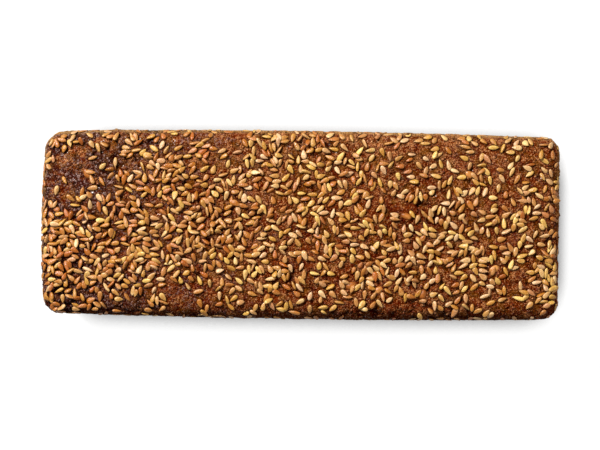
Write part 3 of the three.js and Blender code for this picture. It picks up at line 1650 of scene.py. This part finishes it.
    def _build_browns(self) -> bpy.types.NodeTree:
        """Baked browns by place: three tones made lighter towards the back by painted light,
        varied in hue, dull with painted glints at the left end, with a painted highlight along
        the brow and painted shade on the front shoulder.

        Returns:
            The group.
        """
        colours = {one.name.title(): "NodeSocketColor" for one in fields(Browns)}
        inputs = {"Place": "NodeSocketVector", "Share": "NodeSocketFloat", **colours}
        tree, board, given, made = self._start("baked_browns", inputs, {"Color": "NodeSocketColor"})
        split = board.add("ShaderNodeSeparateXYZ")
        board.feed(split.inputs[0], given.outputs["Place"])
        # Painted light: the tones turn lighter towards the back, which faces the key light.
        backness = board.stretch(split.outputs["Y"], *self.BACK_LIGHTER, (0.0, 0.1))
        share = board.math("ADD", given.outputs["Share"], backness)
        tones = {name: given.outputs[name] for name in ("Dark", "Middle", "Light")}
        colour = board.group(self.tones, Share=share, **tones).outputs["Color"]
        colour = self._hued(board, given, colour)
        colour = self._floured(board, given, colour, split)
        board.feed(made.inputs["Color"], self._browed(board, given, colour, split))
        return tree

    def brown(self, board: Board, place: Socket, share: Socket, browns: Browns) -> Socket:
        """Puts the baked browns on a finish's board.

        Args:
            board: The finish's board.
            place: The object's own coordinates.
            share: How light the brown is, from 0 to 1.
            browns: The finish's shades.

        Returns:
            The colour.
        """
        shades = {one.name.title(): getattr(browns, one.name) for one in fields(browns)}
        return board.group(self.browns, Place=place, Share=share, **shades).outputs["Color"]


def new_material(name: str) -> tuple[bpy.types.Material, Board, bpy.types.Node]:
    """Opens a material with a Principled shader wired to its output.

    Args:
        name: The material's name.

    Returns:
        The material, a board on its tree, and its Principled node.
    """
    material = bpy.data.materials.new(name)
    material.use_nodes = True
    material.node_tree.nodes.clear()
    board = Board(material.node_tree)
    shader = board.add("ShaderNodeBsdfPrincipled")
    output = board.add("ShaderNodeOutputMaterial")
    board.feed(output.inputs["Surface"], shader.outputs["BSDF"])
    return material, board, shader


@dataclass(frozen=True)
class CrustFinish:
    """Dark moist crust: brown in three tones, with painted shade near black in its hollows and
    round the seeds, and dull gloss.
    """

    browns: Browns = Browns(
        dark=linear(72, 3, 0),
        middle=linear(117, 50, 6),
        light=linear(194, 132, 84),
        warm=linear(116, 48, 17),
        cool=linear(110, 64, 8),
        dull=linear(44, 12, 12),
        fleck=linear(164, 132, 124),
        tan=linear(196, 150, 92),
        deep=linear(34, 0, 0),
    )

    def material(self, effects: Effects) -> bpy.types.Material:
        """Builds the crust's material.

        Args:
            effects: The shared node groups.

        Returns:
            The material.
        """
        material, board, shader = new_material("dark_crust")
        place = board.place()
        broad = board.noise(place, 24.0, 2.0)
        middle = board.noise(place, 170.0, 3.0, 0.65)
        grain = board.group(effects.grain, Place=place, Scale=1250.0, Warp=0.9)
        share = board.total(
            -1.5, (broad, 0.6), (middle, 1.3), (grain.outputs["Tone"], 1.8), (board.value("lump"), 0.35)
        )
        colour = effects.brown(board, place, share, self.browns)
        # Painted shade: the crust turns near black in its pits and cracks and round each seed.
        sunk = board.math("MAXIMUM", board.value("pit"), board.value("crack"))
        sunk = board.math("MAXIMUM", sunk, board.product(board.value("near_seed"), 0.7))
        colour = board.mix(board.product(sunk, 0.92), colour, self.browns.deep)
        board.feed(shader.inputs["Base Color"], colour)
        board.feed(shader.inputs["Roughness"], board.stretch(middle, 0.3, 0.7, (0.5, 0.7)))
        board.feed(shader.inputs["Coat Weight"], grain.outputs["Speck"])
        shader.inputs["Coat Roughness"].default_value = 0.3
        shader.inputs["Specular IOR Level"].default_value = 0.0
        height = board.total(0.0, (grain.outputs["Height"], 1.0), (middle, 2.2))
        board.bump(shader, height, 1.0, 0.85 * MM)
        return material


@dataclass(frozen=True)
class MealFinish:
    """Moist coarse meal: each crumb of its own brown, with painted shade at its foot and round
    the seeds, and glossy on top.
    """

    browns: Browns = Browns(
        dark=linear(78, 8, 0),
        middle=linear(126, 59, 11),
        light=linear(206, 148, 100),
        warm=linear(128, 56, 21),
        cool=linear(122, 72, 14),
        dull=linear(54, 18, 16),
        fleck=linear(176, 144, 132),
        tan=linear(204, 160, 100),
        deep=linear(36, 1, 0),
    )

    def material(self, effects: Effects) -> bpy.types.Material:
        """Builds the crumbs' material.

        Args:
            effects: The shared node groups.

        Returns:
            The material.
        """
        material, board, shader = new_material("moist_meal")
        place = board.place()
        grain = board.group(effects.grain, Place=board.vector("own_place"), Scale=1400.0, Warp=0.7)
        broad = board.noise(place, 24.0, 2.0)
        tone = board.math("POWER", board.value("tone"), 2.0)
        share = board.total(-0.76, (broad, 0.6), (tone, 0.65), (grain.outputs["Tone"], 1.2))
        colour = effects.brown(board, place, share, self.browns)
        # Painted shade: each crumb darkens towards its foot and round the seeds.
        low = board.stretch(board.value("crest"), 0.0, 0.7, (0.85, 0.0))
        low = board.math("MAXIMUM", low, board.product(board.value("near_seed"), 0.8))
        wet = board.value("wet")
        board.feed(shader.inputs["Base Color"], board.mix(low, colour, self.browns.deep))
        board.feed(shader.inputs["Roughness"], board.stretch(wet, 0.3, 1.0, (0.6, 0.3)))
        board.feed(shader.inputs["Coat Weight"], board.stretch(wet, 0.4, 1.0, (0.0, 0.6)))
        shader.inputs["Coat Roughness"].default_value = 0.3
        shader.inputs["Specular IOR Level"].default_value = 0.06
        board.bump(shader, grain.outputs["Height"], 1.0, 0.45 * MM)
        return material


@dataclass(frozen=True)
class KernelFinish:
    """Amber kernel: orange brown, darker at its ends, with a soft gloss."""

    shade: Colour = linear(112, 54, 12)
    amber: Colour = linear(164, 96, 34)
    honey: Colour = linear(204, 144, 78)
    tip: Colour = linear(84, 38, 10)

    def material(self, effects: Effects) -> bpy.types.Material:
        """Builds the kernels' material.

        Args:
            effects: The shared node groups.

        Returns:
            The material.
        """
        material, board, shader = new_material("amber_kernel")
        own_place = board.vector("own_place")
        grain = board.group(effects.grain, Place=own_place, Scale=900.0, Warp=0.8)
        blotch = board.noise(own_place, 260.0, 2.0)
        share = board.total(
            -0.45, (blotch, 0.9), (grain.outputs["Tone"], 0.4), (board.value("tone"), 0.6)
        )
        tones = board.group(
            effects.tones, Share=share, Dark=self.shade, Middle=self.amber, Light=self.honey
        )
        ends = board.math("ABSOLUTE", board.math("ADD", board.value("along"), -0.5))
        ends = board.stretch(ends, 0.3, 0.5, (0.0, 0.8))
        board.feed(shader.inputs["Base Color"], board.mix(ends, tones.outputs["Color"], self.tip))
        board.feed(shader.inputs["Roughness"], board.stretch(share, 0.0, 1.0, (0.48, 0.32)))
        shader.inputs["Specular IOR Level"].default_value = 0.35
        board.bump(shader, grain.outputs["Height"], 0.5, 0.2 * MM)
        return material


@dataclass(frozen=True)
class SeedFinish:
    """Golden seed coat: pale to toasted and pinker or yellower from seed to seed, with a
    deeper heart and a darker rim and tip."""

    toasted: Colour = linear(167, 101, 30)
    golden: Colour = linear(196, 152, 82)
    pale: Colour = linear(225, 192, 136)
    scorched: Colour = linear(162, 82, 12)
    heart: Colour = linear(152, 85, 16)
    edge: Colour = linear(150, 86, 28)
    tip: Colour = linear(118, 62, 20)
    rosy: Colour = (1.0, 0.95, 1.12)
    straw: Colour = (1.0, 0.96, 0.56)
    roughness: tuple[float, float] = (0.33, 0.48)

    def material(self, effects: Effects) -> bpy.types.Material:
        """Builds the seeds' material.

        Args:
            effects: The shared node groups.

        Returns:
            The material.
        """
        material, board, shader = new_material("golden_seed")
        own_place = board.vector("own_place")
        grain = board.group(effects.grain, Place=own_place, Scale=1500.0, Warp=0.6)
        blotch = board.noise(own_place, 380.0, 1.0)
        share = board.total(
            -0.66, (board.value("tone"), 1.0), (blotch, 0.9), (grain.outputs["Tone"], 0.4)
        )
        tones = board.group(
            effects.tones, Share=share, Dark=self.toasted, Middle=self.golden, Light=self.pale
        )
        own_hue = board.noise(own_place, 4.0, 0.0)
        rosier = board.stretch(own_hue, 0.5, 0.62, (0.0, 1.0))
        yellower = board.stretch(own_hue, 0.5, 0.38, (0.0, 1.0))
        colour = board.mix(rosier, tones.outputs["Color"], self.rosy, "MULTIPLY")
        colour = board.mix(yellower, colour, self.straw, "MULTIPLY")
        colour = board.mix(board.product(board.value("core"), 0.9), colour, self.heart)
        colour = board.mix(board.product(board.value("toast"), 0.9), colour, self.scorched)
        rim = board.stretch(board.value("rim"), 0.8, 1.0, (0.0, 0.6))
        colour = board.mix(rim, colour, self.edge)
        end = board.stretch(board.value("along"), 0.84, 1.0, (0.0, 0.7))
        colour = board.mix(end, colour, self.tip)
        board.feed(shader.inputs["Base Color"], colour)
        board.feed(shader.inputs["Roughness"], board.stretch(blotch, 0.3, 0.7, self.roughness))
        shader.inputs["Specular IOR Level"].default_value = 0.6
        board.bump(shader, grain.outputs["Height"], 0.7, 0.2 * MM)
        return material


class Slot(Enum):
    """The record's material slots."""

    CRUST = "crust"
    SEEDS = "seeds"
    KERNELS = "kernels"


def dress(piece: bpy.types.Object, material: bpy.types.Material) -> None:
    """Gives a piece its material and the body it rides on.

    Args:
        piece: The finished object.
        material: Its material.
    """
    piece.data.materials.append(material)
    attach(piece, BODY)


@dataclass
class Loaf:
    """The loaf: its crust, the seeds over it and the kernels sunk in it."""

    shape: LoafShape
    effects: Effects
    relief: CrustRelief = field(default_factory=CrustRelief)
    flax: SeedForm = SeedForm(4.88 * MM, 2.38 * MM, 1.25 * MM)
    pressed_flax: SeedForm = SeedForm(4.75 * MM, 2.25 * MM, 0.9 * MM, stations=5, sides=8)
    crumbs: tuple[CrumbCoat, ...] = (
        CrumbCoat("crumbs_top", (Face.TOP,), 7800, 51),
        CrumbCoat("crumbs_sides", (Face.FRONT, Face.BACK, Face.LEFT, Face.RIGHT), 7000, 52),
    )

    def coats(self) -> list[SeedCoat]:
        """The seed coats: free and thick on top, pressed flush on the sides and base.

        Returns:
            The three coats.
        """
        drifts = (
            Patch(-0.72, -0.3, 0.28, 0.42, 0.9),
            Patch(-0.97, -0.45, 0.12, 0.45, 0.6),
            Patch(-0.93, 0.4, 0.1, 0.4, -0.45),
            Patch(-0.78, 0.62, 0.14, 0.3, -0.35),
            Patch(-0.5, 0.45, 0.18, 0.3, 0.3),
            Patch(-0.4, 0.1, 0.16, 0.45, 0.25),
            Patch(0.0, 0.85, 0.2, 0.25, 0.2),
            Patch(0.0, 0.95, 3.0, 0.22, -0.15),
            Patch(-0.05, 0.0, 0.2, 0.35, 0.2),
            Patch(0.14, 0.2, 0.12, 0.2, 0.15),
            Patch(0.42, -0.22, 0.16, 0.2, 0.5),
            Patch(0.34, -0.52, 0.2, 0.2, 0.25),
            Patch(0.95, -0.45, 0.08, 0.35, 0.5),
            Patch(-0.46, -0.6, 0.14, 0.24, -0.5),
            Patch(-0.02, -0.62, 0.1, 0.2, -0.2),
            Patch(0.42, 0.16, 0.12, 0.16, -0.3),
            Patch(0.8, 0.8, 0.3, 0.4, -0.25),
            Patch(0.82, -0.58, 0.08, 0.2, -0.4),
            Patch(-0.28, 0.85, 0.08, 0.2, -0.3),
            Patch(0.0, -1.05, 3.0, 0.24, -0.5),
            Patch(0.1, -0.2, 1.5, 0.3, 0.1),
        )
        top = Sowing(
            (Face.TOP,), 1335, 0.22 * MM, 5 * MM, 0.26, 0.43, drifts,
            disc=0.98 * MM, reach=1.3 * MM, crowded=0.45, clumping=0.65, clump_size=9 * MM,
            on_edge=0.12,
        )
        walls = (Face.FRONT, Face.BACK, Face.LEFT, Face.RIGHT)
        sides = Sowing(
            walls, 1320, 0.55 * MM, 0.08 * MM, 0.06, 0.6,
            crowded=0.3, clumping=0.6, clump_size=16 * MM, edge_gap=2.5 * MM,
        )
        base = Sowing((Face.BASE,), 360, 0.75 * MM, 0.0, 0.03, edge_gap=5 * MM)
        return [
            SeedCoat("seeds_top", self.flax, top, 31),
            SeedCoat("seeds_sides", self.pressed_flax, sides, 32),
            SeedCoat("seeds_base", self.pressed_flax, base, 33),
        ]

    def build(self) -> list[bpy.types.Object]:
        """Builds and dresses every piece of the loaf.

        Returns:
            The pieces, crust first.
        """
        kernels = Kernels()
        surface, middle = kernels.surface(self.shape, self.relief)
        piece = surface.to_object(kernels.name)
        dress(piece, KernelFinish().material(self.effects))
        pieces, middles = [piece], [middle]
        seed_material = SeedFinish().material(self.effects)
        for coat in self.coats():
            surface, tips = coat.surface(self.shape, self.relief)
            piece = surface.to_object(coat.name)
            dress(piece, seed_material)
            pieces.append(piece)
            middles.append(tips)
        seed_points = np.vstack(middles)
        meal = MealFinish().material(self.effects)
        for crumbs in self.crumbs:
            piece = crumbs.surface(self.shape, self.relief, seed_points).to_object(crumbs.name)
            dress(piece, meal)
            pieces.append(piece)
        skin = CrustSkin(self.shape, self.relief)
        crust = skin.surface(seed_points).to_object("crust")
        dress(crust, CrustFinish().material(self.effects))
        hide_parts(LOAF_NODE)
        return [crust, *pieces]


@dataclass(frozen=True)
class Lamp:
    """A soft square light aimed at the loaf."""

    name: str
    place: tuple[float, float, float]
    size: float
    watts: float
    colour: Colour = (1.0, 1.0, 1.0)

    def build(self, target: Vector) -> bpy.types.Object:
        """Makes the light and turns it towards the target.

        Args:
            target: The point that it looks at.

        Returns:
            The light object.
        """
        data = bpy.data.lights.new(self.name, "AREA")
        data.shape = "SQUARE"
        data.size = self.size
        data.energy = self.watts
        data.color = self.colour
        lamp = bpy.data.objects.new(self.name, data)
        lamp.location = self.place
        lamp.rotation_euler = (target - Vector(self.place)).to_track_quat("-Z", "Y").to_euler()
        bpy.context.scene.collection.objects.link(lamp)
        return lamp


@dataclass(frozen=True)
class Studio:
    """A pale lit table, soft lights and a camera straight above."""

    lens: float = 100.0
    view_width: float = 0.3033
    view_plane: float = 0.055
    roll: float = math.radians(0.8)
    floor_size: float = 4.0
    floor_shade: float = 0.08
    floor_glow: float = 1.0
    shade_glow: float = 0.0
    shade_reach: float = 20 * MM
    shade_lean: tuple[float, float, float] = (-0.65, 0.1, 0.75)
    open_air: tuple[float, float] = (0.5, 0.86)
    bounce: float = 0.36
    ambient: float = 0.15
    white: Colour = (1.0, 1.0, 1.0)
    lamps: tuple[Lamp, ...] = (
        Lamp("key", (-0.8, 0.92, 1.2), 0.36, 53.2, (1.0, 0.98, 0.95)),
        Lamp("fill_right", (1.0, -0.2, 0.6), 0.9, 4.0, (1.0, 0.76, 0.5)),
        Lamp("fill_front", (-0.5, -1.0, 0.6), 0.9, 1.0),
    )

    def floor(self) -> bpy.types.Object:
        """A square pale table top. The camera sees it lit from within, dimmer in the narrow
        gap beside the loaf, and it casts only a share of that light on the loaf.

        Returns:
            The floor, set apart from the loaf.
        """
        half = self.floor_size / 2
        corners = [(-half, -half, 0), (half, -half, 0), (half, half, 0), (-half, half, 0)]
        mesh = bpy.data.meshes.new("table")
        mesh.from_pydata(corners, [], [(0, 1, 2, 3)])
        table = bpy.data.objects.new("table", mesh)
        bpy.context.scene.collection.objects.link(table)
        material, board, shader = new_material("lit_table")
        board.feed(shader.inputs["Base Color"], (self.floor_shade,) * 3)
        shader.inputs["Roughness"].default_value = 0.9
        shader.inputs["Specular IOR Level"].default_value = 0.0
        board.feed(shader.inputs["Emission Color"], self.white)
        towards_key = board.add("ShaderNodeCombineXYZ")
        for socket, number in zip(towards_key.inputs, self.shade_lean, strict=True):
            socket.default_value = number
        gap = board.add("ShaderNodeAmbientOcclusion", samples=16)
        gap.inputs["Distance"].default_value = self.shade_reach
        board.feed(gap.inputs["Normal"], towards_key.outputs[0])
        seen = board.add("ShaderNodeLightPath").outputs["Is Camera Ray"]
        seen = board.math("MAXIMUM", seen, self.bounce)
        glow = board.stretch(gap.outputs["AO"], *self.open_air, (self.shade_glow, self.floor_glow))
        board.feed(shader.inputs["Emission Strength"], board.product(glow, seen))
        mesh.materials.append(material)
        return table

    def camera(self) -> bpy.types.Object:
        """A camera straight above, as far up as its lens needs to take in the loaf.

        Returns:
            The camera, set as the scene's own.
        """
        data = bpy.data.cameras.new("camera")
        data.lens = self.lens
        data.clip_start = 0.01
        distance = self.view_width * data.lens / data.sensor_width
        camera = bpy.data.objects.new("camera", data)
        camera.location = (0.0, 0.0, self.view_plane + distance)
        camera.rotation_euler = (0.0, 0.0, self.roll)
        bpy.context.scene.collection.objects.link(camera)
        bpy.context.scene.camera = camera
        return camera

    def surroundings(self) -> bpy.types.World:
        """An even pale room that gives a little light, and that the camera sees as white.

        Returns:
            The world.
        """
        world = bpy.data.worlds.new("room")
        world.use_nodes = True
        world.node_tree.nodes.clear()
        board = Board(world.node_tree)
        seen = board.add("ShaderNodeLightPath").outputs["Is Camera Ray"]
        background = board.add("ShaderNodeBackground")
        board.feed(background.inputs["Color"], self.white)
        board.feed(background.inputs["Strength"], board.stretch(seen, 0.0, 1.0, (self.ambient, 1.0)))
        output = board.add("ShaderNodeOutputWorld")
        board.feed(output.inputs["Surface"], background.outputs[0])
        bpy.context.scene.world = world
        return world

    def build(self, target: Vector) -> None:
        """Sets up the whole studio.

        Args:
            target: The point that the lights look at.
        """
        self.floor()
        self.camera()
        self.surroundings()
        for lamp in self.lamps:
            lamp.build(target)
        bpy.context.scene.view_settings.view_transform = "Standard"


def main() -> None:
    """Builds the loaf and the studio, and reports each piece."""
    logging.basicConfig(level=logging.INFO, format="%(name)s: %(message)s")
    shape = LoafShape.from_node(LOAF_NODE)
    for piece in Loaf(shape, Effects()).build():
        LOG.info("%s: %d points, %d faces", piece.name, len(piece.data.vertices), len(piece.data.polygons))
    Studio().build(Vector((0.0, 0.0, shape.height / 2)))


if __name__ == "__main__":
    main()
